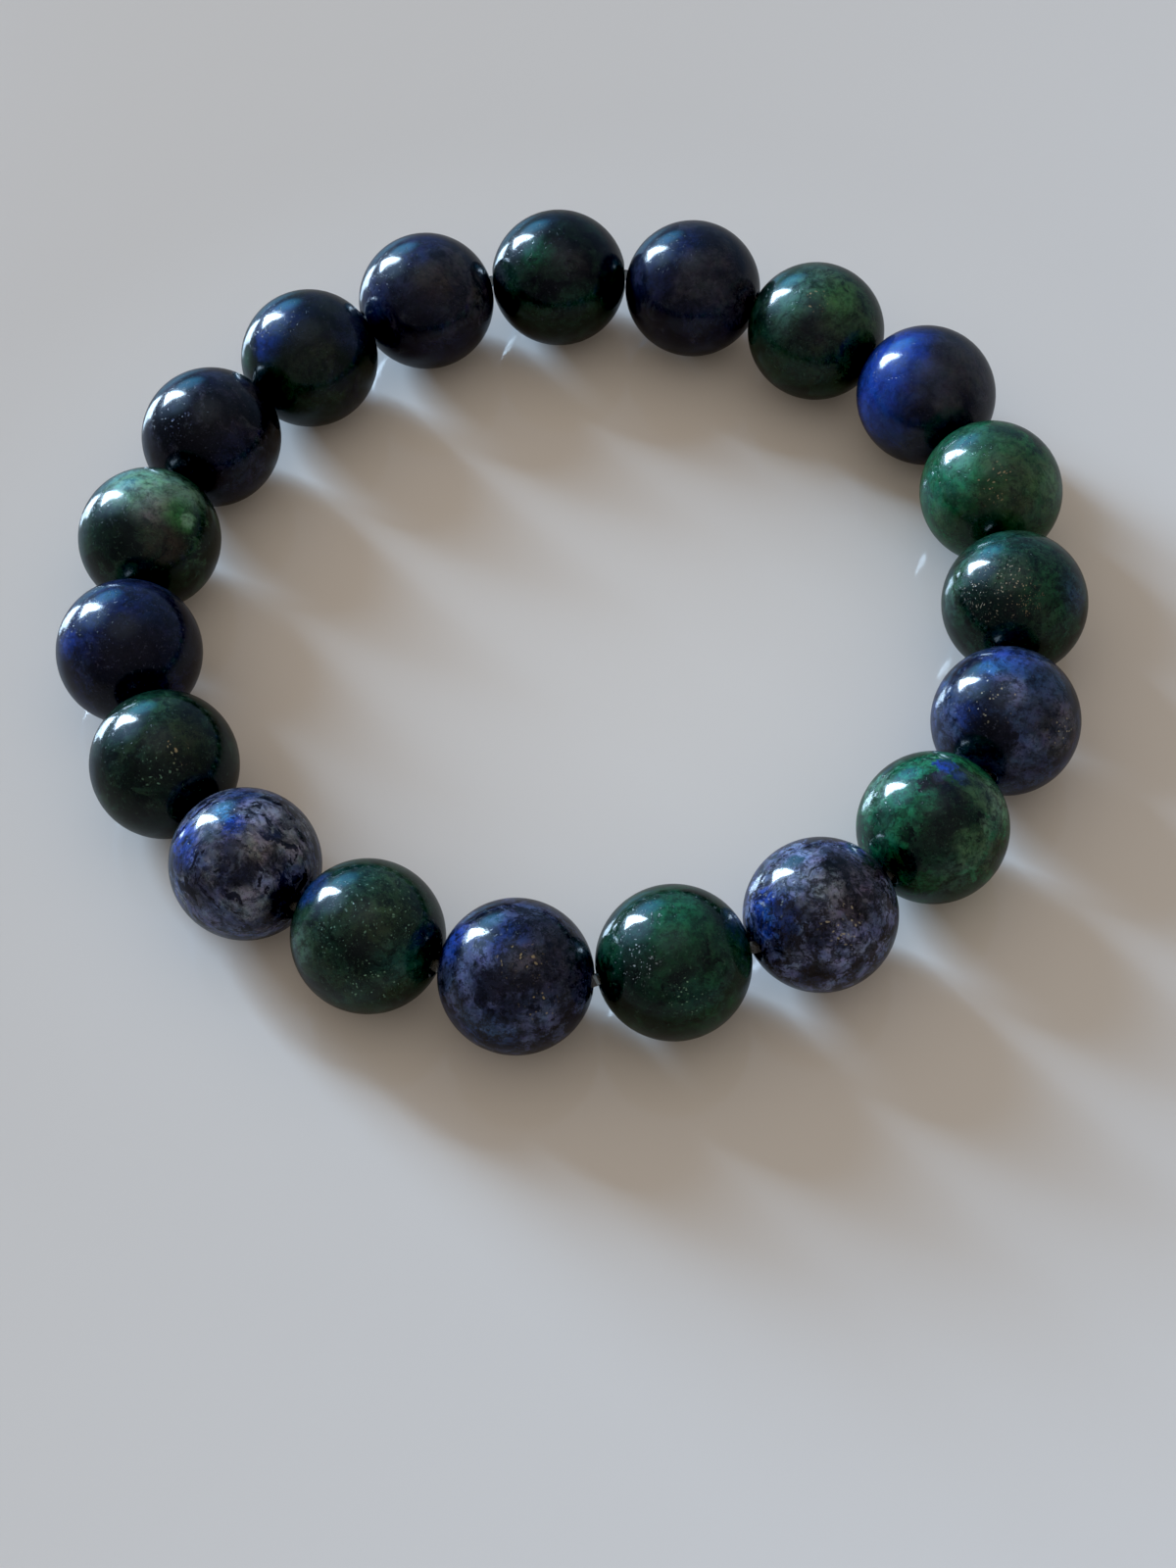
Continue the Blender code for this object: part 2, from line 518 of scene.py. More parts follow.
        "mid": "ink",
        "light": "ash",
        "darkness": -0.06,
        "lightness": 0.35,
        "mottle": 0.3,
        "crackle": 0.15,
        "specks": 0.1,
        "marks": (
            (-0.80, 0.00, 0.55, "royal", 0.8, 0.7),
            (-0.42, 0.60, 0.46, "royal", 1.0, 0.8),
            (-0.60, -0.45, 0.30, "deep", 0.8, 0.6),
            (0.50, 0.50, 0.40, "ash", 0.6, 0.6),
            (0.30, -0.08, 0.20, "ash", 0.6, 0.4),
            (0.06, 0.18, 0.24, "dusk", 0.6, 0.7),
            (0.84, 0.08, 0.24, "fog", 0.15, 0.6),
            (0.20, 0.60, 0.18, "charcoal", 0.7, 0.6),
        ),
    },
    "bead_09_green": {
        "seed": 9,
        "dullness": 0.06,
        "dark": "pitch",
        "mid": "pine",
        "light": "olive",
        "darkness": -0.03,
        "mottle": 0.45,
        "speck": "jade",
        "marks": (
            (0.42, 0.50, 0.38, "moss", 0.9, 0.8),
            (0.32, 0.50, 0.26, "grass", 0.4, 0.9),
            # painted reflection: a teal glow beside the highlight, where the blue light next to the
            # window is mirrored
            (-0.30, 0.55, 0.35, "teal", 0.5, 0.8),
            (-0.45, 0.25, 0.25, "jade", 0.25, 0.8),
            (0.05, 0.85, 0.30, "jade", 0.25, 0.7),
            # painted reflection: part of the same painted glow beside the highlight
            (-0.20, 0.60, 0.22, "jade", 0.25, 0.8),
            (-0.02, 0.46, 0.12, "black", 0.4, 0.3),
            (-0.05, 0.00, 0.32, "charcoal", 0.6, 0.8),
            (-0.70, -0.10, 0.30, "pine", 0.7, 0.7),
            (0.78, 0.05, 0.22, "moss", 0.5, 0.7),
            (-0.20, 0.00, 0.17, "black", 0.5, 0.6),
            (0.32, 0.08, 0.20, "moss", 0.3, 0.7),
        ),
        "flecks": ((-0.02, 0.44, 0.20, "gold"),),
    },
    "bead_10_blue": {
        "seed": 10,
        "dullness": 0.06,
        "mid": "ink",
        "light": "ash",
        "lightness": 0.4,
        "mottle": 0.5,
        "specks": 0.1,
        "marks": (
            (0.15, 0.20, 0.36, "ash", 0.2, 0.6),
            # painted light: paler stone on the right, lifting the neighbouring bead's dark reflection and
            # the shade where the beads meet
            (0.75, -0.20, 0.34, "ash", 0.8, 0.7),
            (-0.60, 0.22, 0.35, "navy", 0.8, 0.7),
            (-0.18, 0.68, 0.28, "deep", 0.4, 0.8),
            (-0.82, 0.22, 0.18, "dusk", 0.7, 0.6),
            (0.30, -0.60, 0.40, "navy", 0.4, 0.7),
        ),
    },
    "bead_11_green": {
        "seed": 11,
        "dullness": 0.06,
        "dark": "black",
        "mid": "pitch",
        "light": "pine",
        "lightness": 0.5,
        "mottle": 0.5,
        "specks": 0.1,
        "marks": (
            (-0.36, 0.37, 0.20, "emerald", 0.38, 0.8),
            (-0.15, 0.85, 0.20, "deep", 0.15, 0.8),
            (0.30, -0.38, 0.26, "pine", 0.8, 0.8),
            (0.20, 0.20, 0.20, "ash", 0.3, 0.7),
            (-0.70, 0.05, 0.25, "pine", 0.7, 0.7),
            (-0.86, 0.00, 0.18, "ash", 0.4, 0.7),
            (-0.10, -0.75, 0.40, "pine", 0.5, 0.8),
        ),
    },
    "bead_12_blue": {
        "seed": 12,
        "dullness": 0.06,
        "mid": "ink",
        "light": "ash",
        "lightness": 0.45,
        "mottle": 0.5,
        "specks": 0.1,
        "marks": (
            (0.00, 0.82, 0.30, "deep", 0.35, 0.8),
            (0.12, 0.30, 0.28, "brown", 0.5, 0.5),
            (0.00, -0.05, 0.25, "ink", 0.6, 0.7),
            # painted light: paler stone on the right, lifting the neighbouring bead's dark reflection and
            # the shade where the beads meet
            (0.78, 0.00, 0.30, "ash", 0.8, 0.7),
            (0.35, 0.60, 0.28, "ash", 0.4, 0.6),
            (-0.75, 0.05, 0.28, "navy", 0.9, 0.6),
            (-0.40, 0.20, 0.20, "dusk", 0.5, 0.7),
            (0.20, -0.60, 0.40, "navy", 0.3, 0.7),
            (-0.82, 0.20, 0.16, "slate", 0.4, 0.6),
            (-0.10, -0.40, 0.22, "black", 0.7, 0.6),
            (0.40, -0.20, 0.16, "ash", 0.3, 0.6),
            (0.60, 0.40, 0.18, "ash", 0.4, 0.6),
            (-0.18, 0.62, 0.16, "royal", 0.15, 0.7),
        ),
    },
    "bead_13_blue_green": {
        "seed": 13,
        "dullness": 0.06,
        "dark": "pitch",
        "mid": "ink",
        "light": "olive",
        "darkness": 0.02,
        "lightness": 0.5,
        "mottle": 0.5,
        "specks": 0.1,
        "marks": (
            (-0.45, 0.50, 0.40, "deep", 0.65, 0.7),
            (0.12, 0.72, 0.32, "ink", 0.5, 0.7),
            (-0.62, 0.18, 0.20, "royal", 0.4, 0.6),
            (0.60, 0.40, 0.30, "navy", 0.8, 0.7),
            (-0.05, -0.05, 0.40, "olive", 0.6, 0.8),
            (-0.42, 0.00, 0.20, "pitch", 0.5, 0.7),
            (-0.10, -0.65, 0.50, "pine", 0.5, 0.8),
            (-0.94, -0.05, 0.22, "leaf", 0.35, 0.5),
            (0.05, 0.20, 0.50, "black", 0.3, 0.8),
        ),
    },
    "bead_14_blue": {
        "seed": 14,
        "dullness": 0.06,
        "dark": "black",
        "mid": "ink",
        "light": "ash",
        "darkness": 0.03,
        "lightness": 0.4,
        "mottle": 0.5,
        "specks": 0.15,
        "marks": (
            (-0.08, 0.86, 0.24, "deep", 0.2, 0.8),
            (-0.60, -0.40, 0.25, "black", 0.5, 0.7),
            (0.28, -0.15, 0.25, "navy", 0.6, 0.8),
            (0.25, 0.40, 0.40, "charcoal", 0.3, 0.8),
            (0.50, -0.60, 0.35, "dusk", 0.5, 0.7),
        ),
        "flecks": ((-0.45, 0.25, 0.25, "slate"),),
    },
    "bead_15_green": {
        "seed": 15,
        "dullness": 0.06,
        "dark": "pitch",
        "mid": "pine",
        "light": "moss",
        "darkness": 0.0,
        "lightness": 0.4,
        "mottle": 0.4,
        "speck": "jade",
        "marks": (
            (-0.14, 0.76, 0.46, "jade", 1.0, 0.5),
            (0.50, 0.62, 0.27, "jade", 0.6, 0.6),
            (0.05, 0.42, 0.25, "grey", 0.5, 0.7),
            (0.42, 0.33, 0.22, "grass", 0.6, 0.6),
            (0.52, 0.26, 0.10, "mint", 0.5, 0.5),
            (-0.50, 0.05, 0.40, "pitch", 0.9, 0.6),
            (0.10, -0.60, 0.45, "pitch", 0.9, 0.7),
            (0.22, -0.08, 0.28, "brown", 0.6, 0.6),
        ),
    },
    "bead_16_blue": {
        "seed": 16,
        "dullness": 0.05,
        "light": "dusk",
        "darkness": 0.02,
        "lightness": 0.4,
        "mottle": 0.6,
        "marks": (
            (-0.85, 0.15, 0.20, "royal", 0.35, 0.6),
            (-0.30, 0.72, 0.35, "deep", 0.5, 0.7),
            (0.10, 0.10, 0.38, "ink", 0.8, 0.6),
            (0.65, 0.10, 0.35, "ink", 0.7, 0.7),
            (0.00, -0.50, 0.50, "black", 0.6, 0.6),
            (-0.40, 0.00, 0.25, "ink", 0.7, 0.6),
            (0.15, 0.30, 0.40, "black", 0.35, 0.8),
            (-0.62, 0.22, 0.26, "royal", 0.15, 0.8),
            (0.10, 0.75, 0.34, "deep", 0.3, 0.8),
        ),
        "flecks": ((-0.30, 0.05, 0.30, "slate"),),
    },
    "bead_17_green": {
        "seed": 17,
        "dullness": 0.03,
        "dark": "pitch",
        "mid": "pine",
        "light": "olive",
        "darkness": 0.03,
        "lightness": 0.5,
        "mottle": 0.6,
        "speck": "jade",
        "marks": (
            # painted reflection: a green-blue sheen above the highlight, where the blue light next to the
            # window is mirrored
            (-0.25, 0.80, 0.36, "emerald", 0.18, 0.7),
            (-0.75, 0.00, 0.30, "pitch", 0.5, 0.6),
            (-0.05, -0.75, 0.40, "black", 0.6, 0.6),
            (0.20, 0.30, 0.38, "olive", 0.75, 0.7),
            (0.10, -0.10, 0.35, "pitch", 0.7, 0.7),
            (0.50, -0.42, 0.45, "black", 0.9, 0.4),
        ),
        "flecks": ((0.12, 0.15, 0.22, "gold"), (-0.10, -0.04, 0.30, "jade")),
    },
    "bead_18_blue": {
        "seed": 18,
        "mid": "slate",
        "light": "fog",
        "darkness": -0.035,
        "lightness": 0.85,
        "crackle": 0.85,
        "cloudScale": 2.0,
        "bend": 0.5,
        "axis": (-0.05, -0.15),
        "squeeze": 2.0,
        "veins": 0.45,
        "dashes": 0.95,
        "marks": (
            (-0.12, 0.50, 0.18, "royal", 1.0, 0.3),
            # painted reflection: azure beside the highlight, where the blue light next to the window is
            # mirrored
            (-0.30, 0.66, 0.16, "azure", 0.6, 0.4),
            (-0.80, 0.25, 0.28, "royal", 0.8, 0.4),
            (-0.10, 0.88, 0.24, "deep", 0.6, 0.4),
            (-0.44, 0.24, 0.20, "ash", 0.7, 0.3),
            (0.12, 0.24, 0.26, "grey", 0.6, 0.5),
            (-0.20, 0.18, 0.14, "charcoal", 0.7, 0.4),
            (0.55, 0.50, 0.40, "fog", 0.5, 0.4),
            (0.64, 0.66, 0.12, "ink", 0.6, 0.2),
            (0.25, 0.42, 0.10, "navy", 1.0, 0.1),
            (0.40, 0.36, 0.09, "navy", 1.0, 0.1),
            (0.46, -0.50, 0.28, "black", 1.0, 0.4),
            (-0.10, -0.18, 0.30, "navy", 0.7, 0.4),
            (-0.60, -0.32, 0.26, "charcoal", 0.8, 0.4),
            (0.05, -0.48, 0.24, "fog", 0.8, 0.4),
            (-0.40, -0.65, 0.30, "slate", 0.5, 0.4),
            (0.17, 0.66, 0.26, "mist", 0.8, 0.4),
            (0.62, 0.20, 0.18, "fog", 0.95, 0.4),
            (0.22, -0.20, 0.16, "mist", 0.45, 0.4),
            (-0.84, -0.02, 0.18, "ink", 0.7, 0.5),
            (0.40, 0.00, 0.17, "ink", 0.7, 0.4),
            (-0.04, -0.16, 0.14, "ink", 0.7, 0.4),
            (-0.20, 0.02, 0.12, "ink", 0.6, 0.4),
            (0.20, -0.80, 0.18, "charcoal", 0.6, 0.4),
        ),
    },
    "bead_19_green": {
        "seed": 19,
        "dark": "pitch",
        "mid": "pine",
        "light": "olive",
        "darkness": -0.06,
        "lightness": 0.5,
        "mottle": 0.6,
        "speck": "jade",
        "specks": 0.3,
        "fleckScale": 22.0,
        "fleckRarity": 0.45,
        "marks": (
            (-0.72, 0.60, 0.24, "royal", 0.4, 0.5),
            # painted reflection: teal above the highlight, where the blue light next to the window is
            # mirrored
            (-0.15, 0.80, 0.28, "teal", 0.2, 0.7),
            (0.35, 0.65, 0.25, "moss", 0.3, 0.7),
            (-0.88, -0.10, 0.24, "jade", 0.2, 0.5),
            (0.10, 0.15, 0.38, "olive", 0.7, 0.7),
            (-0.15, -0.15, 0.20, "pitch", 0.8, 0.7),
            (0.38, -0.32, 0.28, "teal", 0.25, 0.7),
            (0.86, -0.05, 0.28, "black", 0.9, 0.5),
            (0.20, 0.42, 0.18, "moss", 0.35, 0.7),
        ),
        "flecks": (
            (0.15, 0.35, 0.55, "jade"),
            (0.05, -0.60, 0.35, "mint"),
            (-0.45, 0.0, 0.30, "jade"),
        ),
    },
}

polish = {
    "ior": 1.47,
    "roughness": 0.05,
    "grainRoughness": 0.10,  # added where the stone is coarse
    "hazeWeight": 0.22,  # a faint bloom round the highlights
    "hazeRoughness": 0.20,
    "pitDepth": 0.00002,
    "grainHeight": 0.35,  # against a pit's depth
    "relief": 0.5,
}

# The noises of every stone: turns in one bead radius, detail, roughness, and a shift for
# those that would otherwise follow another one
noises = {
    "swirl": (1.3, 3.0, 0.55),
    "clouds": (1.0, 8.0, 0.66),  # its turns and the haze's are times the stone's cloudScale
    "haze": (1.6, 5.0, 0.60, (7.0, 2.0, 4.0)),
    "rugged": (3.5, 7.0, 0.72),
    "depth": (3.6, 8.0, 0.72, (1.0, 9.0, 5.0)),
    "grain": (12.0, 6.0, 0.75),
    "veins": (2.4, 5.0, 0.60),
    "dashes": (3.4, 4.0, 0.60),
    "tint": (5.0, 6.0, 0.70, (4.0, 8.0, 2.0)),
    "blots": (6.5, 7.0, 0.76),
    "glints": (19.0, 4.0, 0.75),
}

seedStep = Vector((3.1, 5.7, 1.9))  # from one seed's noises to the next one's

# Where each form fades in along its noise, and where it is full
edges = {
    "light": (0.42, 0.62),
    "crackle": (0.50, 0.34),
    "veins": (0.034, 0.016),
    "veinClouds": (0.44, 0.52),
    "dashes": (0.575, 0.600),
    "uneven": (0.36, 0.62),
    "blots": (0.470, 0.445),
    "dust": (0.47, 0.42),
    "glints": (0.58, 0.70),
    "pits": (0.40, 0.20),
}

# How strongly the forms show, and how far the finer ones fray the edges of the larger
amounts = {
    "dark": 0.92,
    "darkEdge": 0.03,  # half the width of the dark stone's edge
    "darkFray": 0.10,
    "crumble": 0.35,
    "dashFray": 0.3,
    "markFray": 0.25,
    "markFrayBySize": 1.6,
    "markCalm": 0.6,  # how much less a soft mark is frayed
    "tintLow": 0.6,
    "tintRange": 0.8,
    "unevenTop": 1.1,
    "unevenDrop": 0.75,
    "unevenRange": 1.5,
    "blots": 0.85,
    "dust": 0.65,
    "cellBend": 0.5,
    "pitFray": 1.3,
    "flecks": 0.8,
    "fleckOuter": 1.2,  # the patch of flecks ends here, in its sizes
    "fleckInner": 0.5,
}


# The place, in bead radii from the bead's middle, of what the camera sees this far right of
# and above the middle of the bead's face
def placeSeen(centre, rightward, upward):
    outward = (cameraPlace - centre).normalized()
    right = cameraAxes()[0]
    right = (right - outward * right.dot(outward)).normalized()
    up = outward.cross(right)
    depth = math.sqrt(max(0.0, 1 - rightward**2 - upward**2))
    return rightward * right + upward * up + depth * outward


def stoneNoise(board, kind, where, scale=1.0, output=0):
    turns, detail, roughness, *shift = noises[kind]
    if shift:
        where = board.vector("ADD", where, shift[0])
    return board.noise(where, turns * scale, detail, roughness, output)


# The places and noises that the stone's colours are made of, by name
def stonePatterns(board, look, centre):
    spot = board.node("ShaderNodeTexCoord", {}, {}, "Object")
    radius = bead["radius"]
    settings = {"Vector": spot, "Location": -centre / radius, "Scale": (1 / radius,) * 3}
    inside = board.node("ShaderNodeMapping", {}, settings)
    grown = board.vector("ADD", inside, seedStep * look["seed"])
    swirl = stoneNoise(board, "swirl", grown, output="Color")
    swirl = board.vector("SUBTRACT", swirl, (0.5,) * 3)
    flow = board.vector("ADD", grown, board.scaled(swirl, look["bend"]))
    if look["squeeze"]:
        axis = placeSeen(centre, *look["axis"])
        along = board.vector("DOT_PRODUCT", flow, axis, 1)
        flow = board.vector("ADD", flow, board.scaled(axis, along * look["squeeze"]))
    grain = stoneNoise(board, "grain", grown)
    return {
        "inside": inside,
        "grown": grown,
        "swirl": swirl,
        "flow": flow,
        "clouds": stoneNoise(board, "clouds", flow, look["cloudScale"]),
        "haze": stoneNoise(board, "haze", flow, look["cloudScale"]),
        "rugged": stoneNoise(board, "rugged", flow) - 0.5,
        "depth": stoneNoise(board, "depth", flow),
        "grain": grain,
        "crumble": (grain - 0.5) * amounts["crumble"],
        "dust": board.band(grain, *edges["dust"]),
    }


# Mid and light clouds, with crisp-edged dark stone between them
def groundColour(board, look, rock):
    light = board.band(rock["haze"], *edges["light"]) * look["lightness"]
    colour = board.mix(light, palette[look["mid"]], palette[look["light"]])
    ground = 0.5 + look["darkness"]
    frayed = rock["clouds"] + (rock["grain"] - 0.5) * amounts["darkFray"]
    dark = board.band(frayed, ground + amounts["darkEdge"], ground - amounts["darkEdge"])
    return board.mix(dark * amounts["dark"], colour, palette[look["dark"]])


# Patches of the stone's minerals laid over the ground; the marks noted in the looks as painted
# reflections or painted light are laid the same way
def withMarks(board, look, rock, centre, colour):
    broken = 1 - board.band(rock["depth"], *edges["crackle"]) * look["crackle"]
    for rightward, upward, size, colourName, strength, soft in look["marks"]:
        away = board.vector("DISTANCE", rock["inside"], placeSeen(centre, rightward, upward), 1)
        fray = (amounts["markFrayBySize"] * size + amounts["markFray"]) * (1 - amounts["markCalm"] * soft)
        ragged = rock["rugged"] * fray + rock["crumble"] * (1 - soft)
        patch = board.band(away + ragged, size * (1 + soft), size * (1 - soft))
        colour = board.mix(patch * broken * strength, colour, palette[colourName])
    return colour


def withStrokes(board, look, rock, colour):
    if look["veins"]:
        vein = board.band(abs(stoneNoise(board, "veins", rock["flow"]) - 0.5), *edges["veins"])
        vein = vein * board.band(rock["haze"] + rock["crumble"], *edges["veinClouds"])
        colour = board.mix(vein * look["veins"], colour, palette["black"])
    if look["dashes"]:
        dash = stoneNoise(board, "dashes", rock["flow"]) + rock["crumble"] * amounts["dashFray"]
        dash = board.band(dash, *edges["dashes"])
        colour = board.mix(dash * look["dashes"], colour, palette[look["dark"]])
    return colour


# Over every colour alike: uneven hue and depth, dark blots, and finer dark and pale grains
def withGrains(board, look, rock, colour):
    tint = board.scaled(stoneNoise(board, "tint", rock["grown"], output="Color"), amounts["tintRange"])
    tint = board.vector("ADD", tint, (amounts["tintLow"],) * 3)
    colour = board.vector("MULTIPLY", colour, tint)
    mottle = look["mottle"]
    uneven = board.band(rock["depth"], *edges["uneven"]) * amounts["unevenRange"] * mottle
    colour = board.scaled(colour, uneven + (amounts["unevenTop"] - amounts["unevenDrop"] * mottle))
    blots = board.band(stoneNoise(board, "blots", rock["grown"]), *edges["blots"])
    colour = board.mix(blots * mottle * amounts["blots"], colour, palette[look["dark"]])
    colour = board.mix(rock["dust"] * mottle * amounts["dust"], colour, palette["black"])
    glints = board.band(stoneNoise(board, "glints", rock["grown"]), *edges["glints"])
    return board.mix(glints * look["specks"], colour, palette[look["speck"]])


# Small cells of the stone, most of them passed over by chance
def stonePits(board, look, rock):
    bent = board.vector("ADD", rock["grown"], board.scaled(rock["swirl"], amounts["cellBend"]))
    cells = {"Vector": bent, "Scale": look["fleckScale"]}
    cell = board.node("ShaderNodeTexVoronoi", {}, cells)
    chance = board.node("ShaderNodeTexVoronoi", {}, cells, "Color")
    chance = board.node("ShaderNodeSeparateColor", {}, {0: chance})
    frayed = cell + (rock["grain"] - 0.5) * amounts["pitFray"]
    return board.band(frayed + (1 - chance) * look["fleckRarity"], *edges["pits"])


def withFlecks(board, look, rock, centre, pits, colour):
    for rightward, upward, size, colourName in look["flecks"]:
        away = board.vector("DISTANCE", rock["inside"], placeSeen(centre, rightward, upward), 1)
        away = away + rock["rugged"] * size
        patch = board.band(away, size * amounts["fleckOuter"], size * amounts["fleckInner"])
        colour = board.mix(pits * patch * amounts["flecks"], colour, palette[colourName])
    return colour


def stoneFinish(name, look, centre):
    look = {**stone, **look}
    material = bpy.data.materials.new(name + "_stone")
    material.use_nodes = True
    board = Board(material.node_tree)
    rock = stonePatterns(board, look, centre)
    pits = stonePits(board, look, rock)
    colour = groundColour(board, look, rock)
    colour = withMarks(board, look, rock, centre, colour)
    colour = withStrokes(board, look, rock, colour)
    colour = withGrains(board, look, rock, colour)
    colour = withFlecks(board, look, rock, centre, pits, colour)
    normal = board.node("ShaderNodeBump", {}, {
        "Height": rock["grain"] * polish["grainHeight"] - pits,
        "Distance": polish["pitDepth"],
        "Strength": polish["relief"],
    })
    surface = board.node("ShaderNodeBsdfPrincipled", {}, {
        "Base Color": colour,
        "Roughness": rock["dust"] * polish["grainRoughness"] + (polish["roughness"] + look["dullness"]),
        "IOR": polish["ior"],
        "Coat Weight": polish["hazeWeight"],
        "Coat Roughness": polish["hazeRoughness"],
        "Normal": normal,
    })
    board.node("ShaderNodeOutputMaterial", {}, {"Surface": surface})
    return material


print("Copying the bead to its nineteen places")

beadNames = sorted(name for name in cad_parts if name.startswith("bead_"))
beadCentres = []
for name in beadNames:
    low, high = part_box(name)
    beadCentres.append((Vector(low) + Vector(high)) / 2)


def boreDirection(number):
    following = beadCentres[(number + 1) % len(beadCentres)]
    return (following - beadCentres[number - 1]).normalized()


def slotOf(name):
    word = name.split("_", 2)[2]
    return word + "_stone"


def placeBead(number):
    name = beadNames[number]
    centre = beadCentres[number]
    direction = boreDirection(number)
    piece = firstBead.copy()
    piece.data = firstBead.data.copy()
    piece.name = name + "_polished"
    bpy.context.scene.collection.objects.link(piece)
    deselectAll()
    piece.select_set(True)
    bpy.context.view_layer.objects.active = piece
    piece.location = centre
    piece.rotation_euler = (0, 0, math.atan2(direction.y, direction.x))
    bpy.ops.object.transform_apply(location=True, rotation=True, scale=True)
    piece.data.materials.append(stoneFinish(name, beadLooks[name], centre))
    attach(piece, "root")
    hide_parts(name)
    slotOf(name)
    return piece


for number in range(len(beadNames)):
    placeBead(number)
bpy.data.objects.remove(firstBead, do_unlink=True)

print("Threading the elastic cord")

cord = {
    "diameter": 0.0008,
    "straight": 0.0086,  # length that runs straight through each bead
    "sidesPerQuarter": 6,
    "pointsPerBend": 8,
    "colour": (0.60, 0.62, 0.61),
    "roughness": 0.12,
    "scuffRoughness": 0.15,  # added where it is scuffed
    "scuffScale": 1500.0,  # scuffs in a metre
    "clearness": 0.85,
    "ior": 1.48,
}


# Straight through each bead and round an even bend to the next one, in a closed loop
def modelCord():
    curve = bpy.data.curves.new("elastic_cord_clear", "CURVE")
    curve.dimensions = "3D"
    curve.bevel_depth = cord["diameter"] / 2
    curve.bevel_resolution = cord["sidesPerQuarter"]
    curve.resolution_u = cord["pointsPerBend"]
    line = curve.splines.new("BEZIER")
    line.bezier_points.add(2 * len(beadCentres) - 1)
    line.use_cyclic_u = True
    half = cord["straight"] / 2
    ends = []
    for number, centre in enumerate(beadCentres):
        direction = boreDirection(number)
        ends.append((centre - half * direction, direction))
        ends.append((centre + half * direction, direction))
    for i, point in enumerate(line.bezier_points):
        place, direction = ends[i]
        point.co = place
        entering = i % 2 == 0
        following, turned = ends[i - 1] if entering else ends[(i + 1) % len(ends)]
        reach = (following - place).length / 2 / math.cos(direction.angle(turned) / 2)
        handle = 2 / 3 * reach * direction  # a cubic's handle for a bend with one corner
        straight = half * direction
        point.handle_left_type = "FREE"
        point.handle_right_type = "FREE"
        point.handle_left = place - (handle if entering else straight)
        point.handle_right = place + (straight if entering else handle)
    piece = bpy.data.objects.new("elastic_cord_clear", curve)
    bpy.context.scene.collection.objects.link(piece)
    deselectAll()
    piece.select_set(True)
    bpy.context.view_layer.objects.active = piece
    bpy.ops.object.convert(target="MESH")
    piece = bpy.context.object
    bpy.ops.object.shade_smooth()
    return piece


def cordFinish():
    material = bpy.data.materials.new("elastic_cord_clear")
    material.use_nodes = True
    board = Board(material.node_tree)
    spot = board.node("ShaderNodeTexCoord", {}, {}, "Object")
    scuffs = board.noise(spot, cord["scuffScale"], 3.0)
    surface = board.node("ShaderNodeBsdfPrincipled", {}, {
        "Base Color": (*cord["colour"], 1.0),
        "Roughness": cord["roughness"] + scuffs * cord["scuffRoughness"],
        "Transmission Weight": cord["clearness"],
        "IOR": cord["ior"],
    })
    board.node("ShaderNodeOutputMaterial", {}, {"Surface": surface})
    return material


elastic = modelCord()
elastic.data.materials.clear()
elastic.data.materials.append(cordFinish())
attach(elastic, "root")
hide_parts("elastic_cord")

print("Laying the floor and lighting the studio")

floor = {
    "size": 8.0,
    "slant": (0.7, -0.5, 0.0),  # the way from the warm side to the cool one: painted light and shade, darker and warmer at the back left, brighter and cooler at the front right
    "slantEdges": (-0.07, 0.11),  # metres along it
    "middleEdges": (0.055, 0.020),  # metres from the ring's middle, where a paler pool of painted light lies
    "warm": (0.62, 0.60, 0.58),
    "cool": (0.76, 0.80, 0.85),
    "middle": (0.77, 0.77, 0.77),
    "mirrored": 0.36,  # how much of its brightness the beads' polish mirrors
    "roughness": 0.07,
    "ior": 1.55,
    "waves": 90.0,  # in a metre
    "waveHeight": 0.0001,
    "waveStrength": 0.2,
}


def addFloor():
    deselectAll()
    bpy.ops.mesh.primitive_plane_add(size=floor["size"])
    plane = bpy.context.object
    plane.name = "floor"
    material = bpy.data.materials.new("floorGlaze")
    material.use_nodes = True
    board = Board(material.node_tree)
    spot = board.node("ShaderNodeTexCoord", {}, {}, "Object")
    # Painted light and shade: darker and warmer at the back left, brighter and cooler at the front right,
    # and a paler painted pool of light in the ring's middle
    slant = board.vector("DOT_PRODUCT", spot, floor["slant"], 1)
    tone = board.mix(board.band(slant, *floor["slantEdges"]), floor["warm"], floor["cool"])
    reach = board.vector("LENGTH", spot, (0, 0, 0), 1)
    tone = board.mix(board.band(reach, *floor["middleEdges"]), tone, floor["middle"])
    mirrored = board.node("ShaderNodeLightPath", {}, {}, "Is Glossy Ray")
    tone = board.mix(mirrored, tone, board.scaled(tone, floor["mirrored"]))
    normal = board.node("ShaderNodeBump", {}, {
        "Height": board.noise(spot, floor["waves"], 3.0),
        "Distance": floor["waveHeight"],
        "Strength": floor["waveStrength"],
    })
    surface = board.node("ShaderNodeBsdfPrincipled", {}, {
        "Base Color": tone,
        "Roughness": floor["roughness"],
        "IOR": floor["ior"],
        "Normal": normal,
    })
    board.node("ShaderNodeOutputMaterial", {}, {"Surface": surface})
    plane.data.materials.append(material)


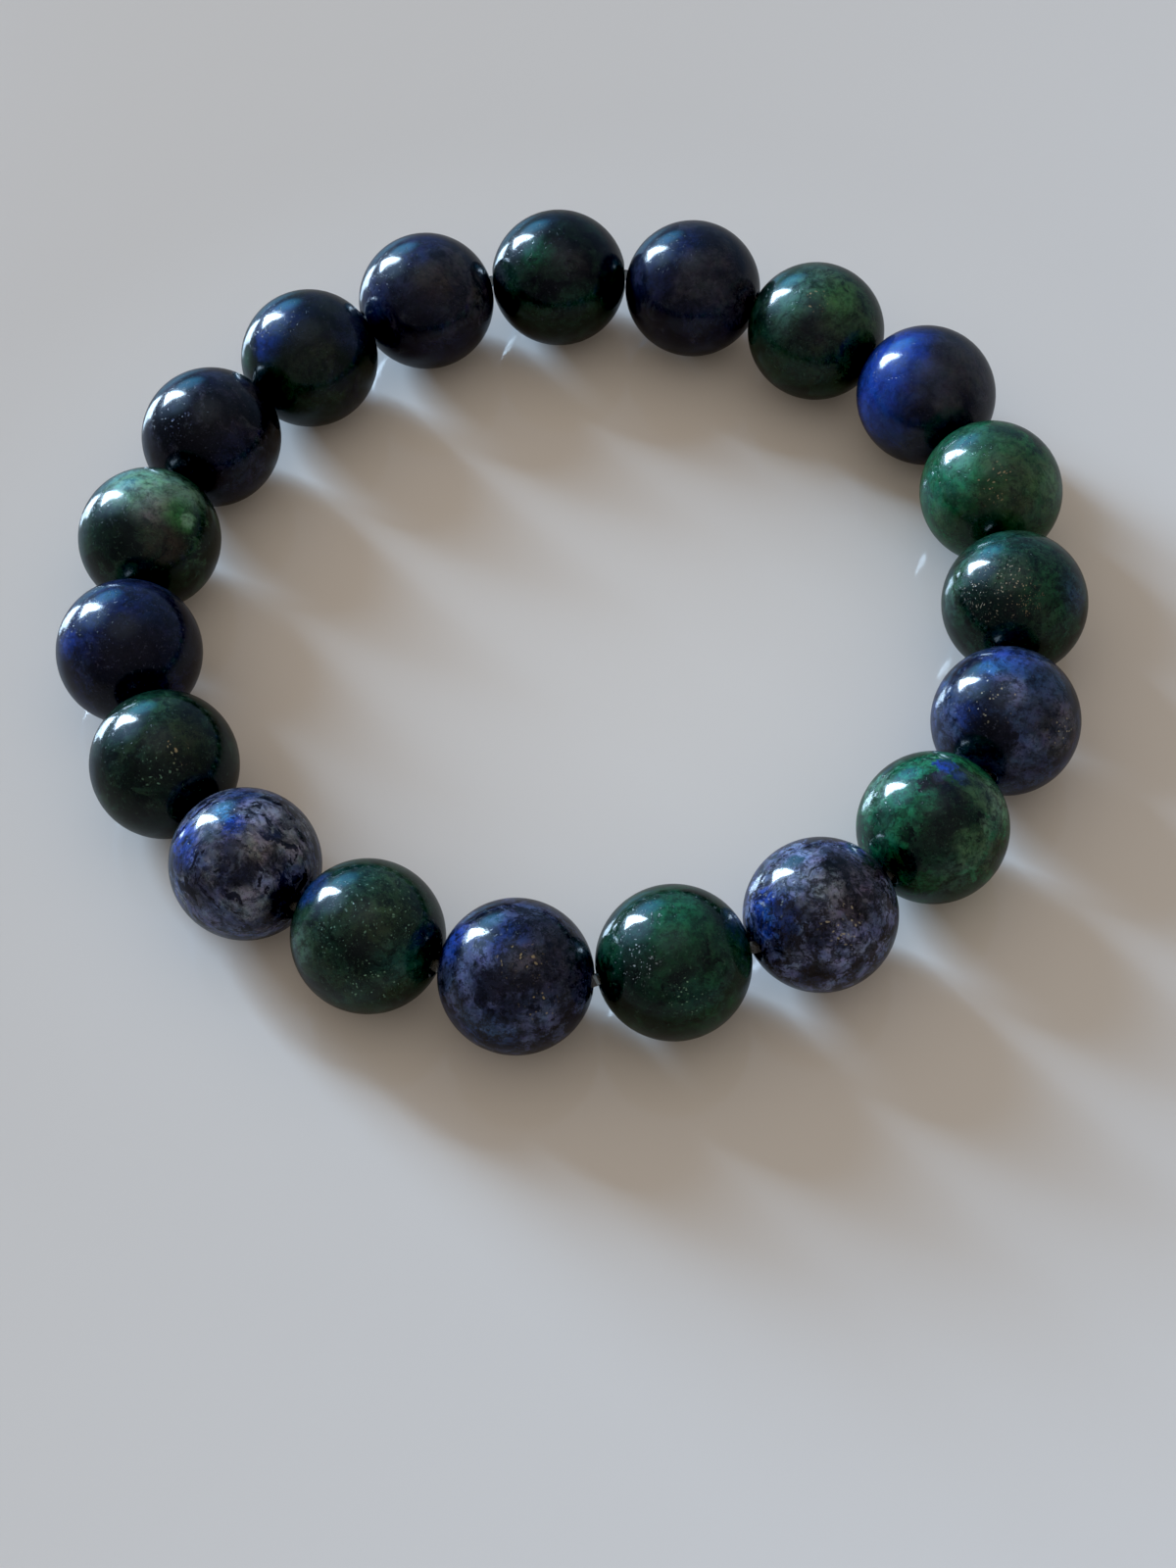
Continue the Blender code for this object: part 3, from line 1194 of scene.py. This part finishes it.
# A pane of light is drawn by its corners as seen from the bracelet: azimuth from +X towards
# +Y and elevation, in degrees
lights = {
    "distance": 2.0,
    "window": {
        "corners": ((145, 13), (129, 5), (126, 21), (126, 38), (134, 33), (137, 23)),
        "colour": (0.56, 0.77, 1.0),
        "radiance": 48.0,
    },
    "room": {
        "ambient": (0.52, 0.44, 0.36),  # what lights the dull surfaces
        "near": (0.10, 0.105, 0.125),  # what the polish mirrors: dark towards the camera
        "far": (0.12, 0.17, 0.25),  # and bluish beyond the bracelet
        "farDirection": (90, 10),  # azimuth, elevation
        "farEdges": (-0.3, 0.9),  # cosines of the angle from it
        # soft patches of light in it: azimuth, elevation, spread in degrees, colour
        "patches": (
            (-75, 70, 60, (0.05, 0.05, 0.06)),
            (110, 84, 30, (0.15, 0.18, 0.20)),
            (147, 43, 20, (0.30, 0.55, 0.80)),
            (112, 20, 18, (0.15, 1.10, 2.00)),
            (134, 26, 34, (0.40, 0.68, 1.20)),
        ),
    },
}


def outwards(azimuth, elevation):
    azimuth = math.radians(azimuth)
    elevation = math.radians(elevation)
    level = Vector((math.cos(azimuth), math.sin(azimuth), 0))
    return level * math.cos(elevation) + Vector((0, 0, math.sin(elevation)))


def addPane(name):
    pane = lights[name]
    deselectAll()
    bpy.ops.mesh.primitive_circle_add(vertices=len(pane["corners"]), fill_type="NGON")
    sheet = bpy.context.object
    sheet.name = name + "Light"
    for vertex, corner in zip(sheet.data.vertices, pane["corners"]):
        vertex.co = lights["distance"] * outwards(*corner)
    sheet.visible_camera = False
    material = bpy.data.materials.new(name + "Light")
    material.use_nodes = True
    board = Board(material.node_tree)
    glow = board.node("ShaderNodeEmission", {}, {
        "Color": (*pane["colour"], 1.0),
        "Strength": pane["radiance"],
    })
    board.node("ShaderNodeOutputMaterial", {}, {"Surface": glow})
    sheet.data.materials.append(material)


def addRoom():
    room = lights["room"]
    world = bpy.data.worlds.new("room")
    world.use_nodes = True
    board = Board(world.node_tree)
    direction = board.node("ShaderNodeTexCoord", {}, {}, "Generated")
    beyond = board.vector("DOT_PRODUCT", direction, outwards(*room["farDirection"]), 1)
    mirrored = board.mix(board.band(beyond, *room["farEdges"]), room["near"], room["far"])
    for azimuth, elevation, spread, colour in room["patches"]:
        towards = board.vector("DOT_PRODUCT", direction, outwards(azimuth, elevation), 1)
        edge = math.cos(math.radians(spread))
        mirrored = board.mix(board.band(towards, edge, 1.0), mirrored, colour, "ADD")
    glossy = board.node("ShaderNodeLightPath", {}, {}, "Is Glossy Ray")
    colour = board.mix(glossy, room["ambient"], mirrored)
    glow = board.node("ShaderNodeBackground", {}, {"Color": colour, "Strength": 1.0})
    board.node("ShaderNodeOutputWorld", {}, {"Surface": glow})
    bpy.context.scene.world = world


addFloor()
addPane("window")
addRoom()

# Plain display colours, with the deep blacks of a phone's camera
blackLevel = 0.004
view = bpy.context.scene.view_settings
view.view_transform = "Standard"
view.use_curve_mapping = True
view.curve_mapping.black_level = (blackLevel,) * 3
view.curve_mapping.update()
